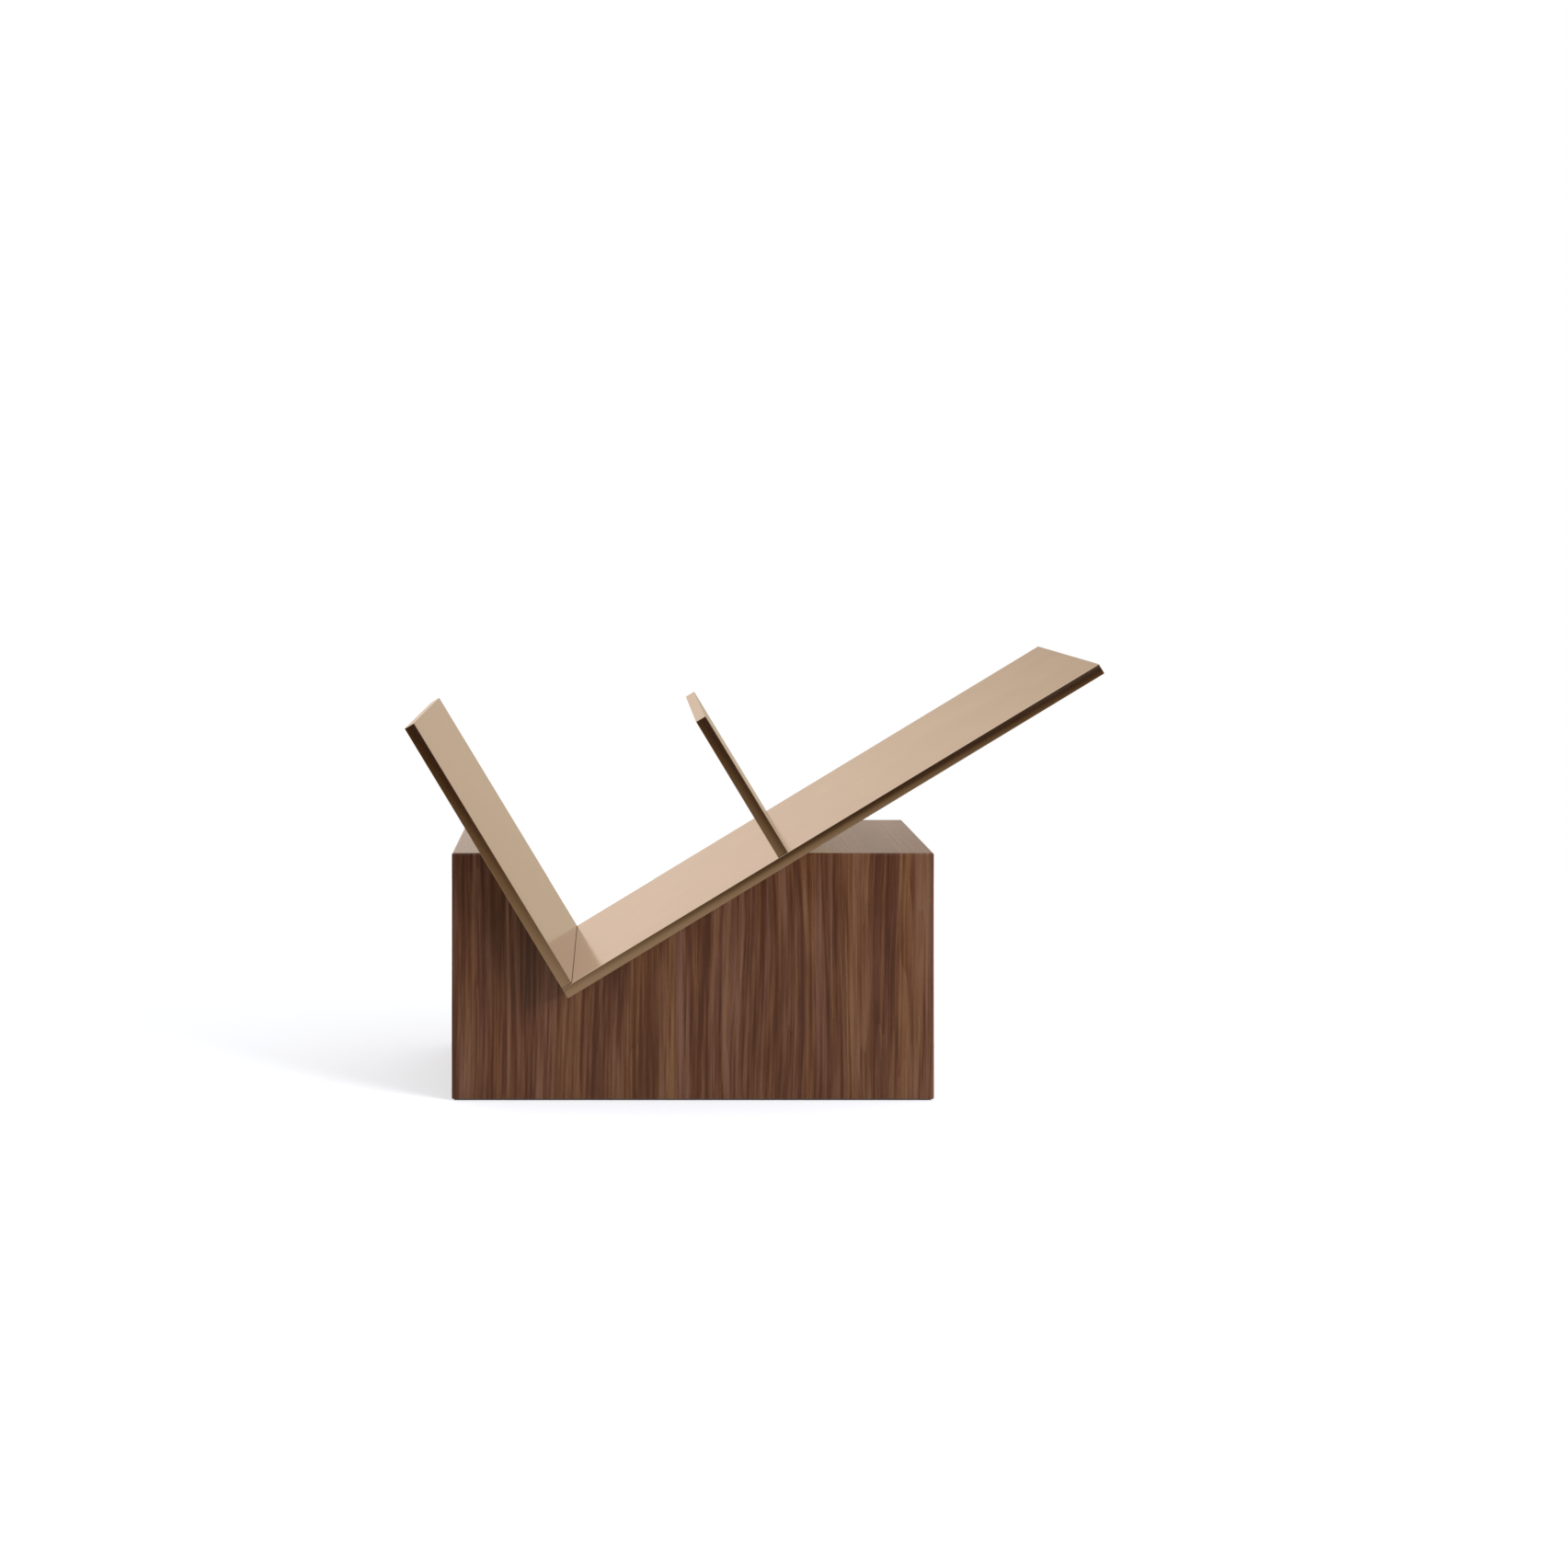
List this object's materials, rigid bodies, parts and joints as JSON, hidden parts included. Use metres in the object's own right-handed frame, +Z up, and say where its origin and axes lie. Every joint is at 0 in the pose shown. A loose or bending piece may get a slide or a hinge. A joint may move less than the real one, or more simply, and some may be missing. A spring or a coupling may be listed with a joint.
{
  "type": "photo album stand",
  "caption": "Desk stand for photo albums: a walnut block with a V notch carries a tilted L-shaped tray of satin metal plates with an upright divider that makes an album bay.",
  "frame": {"origin": "on the table, under the centre of the wooden block's footprint", "axes": "+X to the raised end of the long plate, +Y to the back, +Z up"},
  "size_m": [0.5576, 0.25, 0.3544],
  "materials": {
    "walnut_veneer": "satin lacquer",
    "birch_plywood": "raw",
    "pine": "raw",
    "beech": "raw",
    "champagne_metal": "fine brushed, champagne anodised",
    "zinc_steel": "zinc plated",
    "felt": "needle felt"
  },
  "bodies": {
    "root": {"front_panel": "walnut_veneer", "back_panel": "walnut_veneer", "left_side_panel": "walnut_veneer", "right_side_panel": "walnut_veneer", "left_land_panel": "walnut_veneer", "right_land_panel": "walnut_veneer", "long_bed_panel": "birch_plywood", "short_bed_panel": "birch_plywood", "base_panel": "birch_plywood", "corner_block_front_left": "pine", "corner_block_front_right": "pine", "corner_block_back_left": "pine", "corner_block_back_right": "pine", "base_cleat_front": "pine", "base_cleat_back": "pine", "bed_dowels": "beech", "long_plate": "champagne_metal", "short_plate": "champagne_metal", "divider_plate": "champagne_metal", "base_screws": "zinc_steel", "short_plate_screws": "zinc_steel", "divider_screws": "zinc_steel", "tray_bolts": "zinc_steel", "tray_washers": "zinc_steel", "felt_underlay": "felt"}
  },
  "joints": []
}
